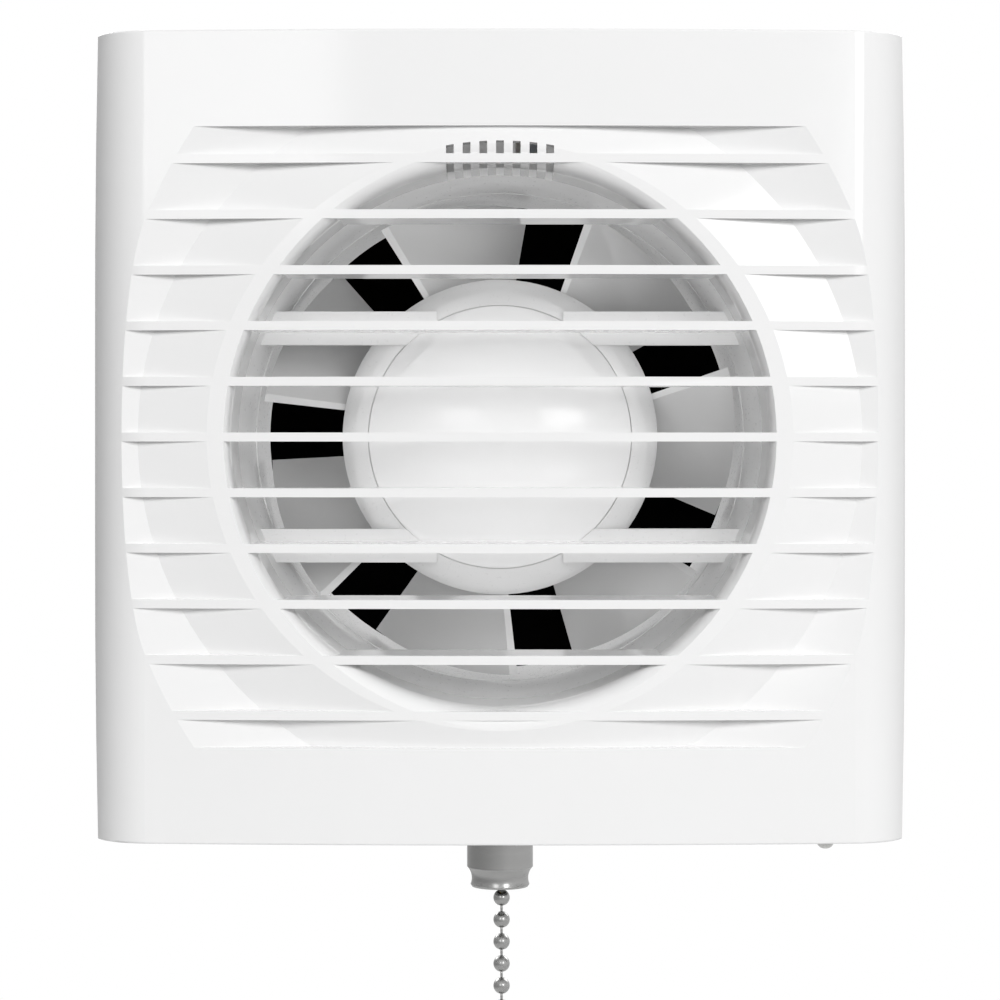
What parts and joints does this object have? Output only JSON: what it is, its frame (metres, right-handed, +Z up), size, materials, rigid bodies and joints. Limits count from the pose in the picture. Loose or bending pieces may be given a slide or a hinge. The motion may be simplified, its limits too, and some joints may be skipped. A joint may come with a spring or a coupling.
{
  "type": "bathroom extractor fan",
  "caption": "Wall-mounted bathroom extractor fan with a slatted square panel, axial impeller and a pull-chain switch.",
  "frame": {"origin": "centre of the duct spigot in the wall plane", "axes": "+X right as seen from the room, +Y into the wall along the duct, +Z up"},
  "size_m": [0.1522, 0.107, 0.2895],
  "materials": {
    "white_abs": "gloss moulded",
    "grey_blades": "satin moulded",
    "white_nylon": "matt moulded",
    "dark_phenolic": "matt moulded",
    "satin_nickel": "satin plated",
    "zinc_steel": "bright zinc",
    "silicon_steel": "laminated",
    "copper_winding": "enamelled",
    "bare_copper": "bare",
    "brass": "turned",
    "sintered_bronze": "sintered",
    "nylon_washer": "matt",
    "cable_sheath": "matt",
    "white_screw": "gloss",
    "spring_steel": "bright"
  },
  "bodies": {
    "housing": {"front_panel": "white_abs", "panel_screw": "white_screw", "rear_housing": "white_abs", "motor_carrier": "white_abs", "carrier_screws": "zinc_steel", "motor_cap": "white_abs", "stator_core": "silicon_steel", "coil_bobbins": "white_nylon", "stator_coils": "copper_winding", "shading_rings": "bare_copper", "motor_bracket_front": "zinc_steel", "motor_bracket_rear": "zinc_steel", "bearing_front": "sintered_bronze", "bearing_rear": "sintered_bronze", "motor_screws": "zinc_steel", "motor_leads": "cable_sheath", "terminal_block": "white_nylon", "terminal_inserts": "brass", "terminal_screws": "zinc_steel", "terminal_fixing_screw": "zinc_steel", "cable_clamp": "white_nylon", "cable_clamp_screws": "zinc_steel", "switch_body": "dark_phenolic", "switch_cover": "dark_phenolic", "switch_cover_screws": "zinc_steel", "switch_bushing": "brass", "switch_bell": "satin_nickel", "fixed_contacts": "brass", "switch_leads": "cable_sheath"},
    "rotor": {"shaft": "zinc_steel", "rotor_core": "silicon_steel", "thrust_washers": "nylon_washer", "impeller": "grey_blades", "impeller_clip": "spring_steel"},
    "plunger": {"pull_slider": "white_nylon", "return_spring": "spring_steel"},
    "lever": {"switch_lever": "white_nylon", "moving_contact": "brass"},
    "bead": {"chain_ball": "satin_nickel"},
    "chain": {"pull_chain": "satin_nickel", "pull_end": "satin_nickel"}
  },
  "joints": [
    {"name": "rotor_spin", "type": "hinge", "parent": "housing", "child": "rotor", "pos_m": [0, 0.006, 0], "axis": [0, -1, 0], "continuous": true},
    {"name": "cord_pull", "type": "slide", "parent": "housing", "child": "plunger", "axis": [0, 0, -1], "range_m": [0, 0.005], "stiffness_N_per_m": 900, "springref_m": -0.0022, "deforming": ["return_spring"]},
    {"name": "lever_turn", "type": "hinge", "parent": "housing", "child": "lever", "pos_m": [0.0096, -0.0175, -0.0616], "axis": [0, 1, 0], "range_deg": [-62, 2]},
    {"name": "chain_sway", "type": "hinge", "parent": "plunger", "child": "bead", "pos_m": [0.0003, -0.0175, -0.08289], "axis": [1, 0, 0], "range_deg": [-30, 7]},
    {"name": "chain_swing", "type": "hinge", "parent": "bead", "child": "chain", "pos_m": [0.0003, -0.0175, -0.08289], "axis": [0, 1, 0], "range_deg": [-30, 30]}
  ],
  "couplings": [
    {"joint": "lever_turn", "follows": "cord_pull", "rad_per_m": -209.44}
  ]
}
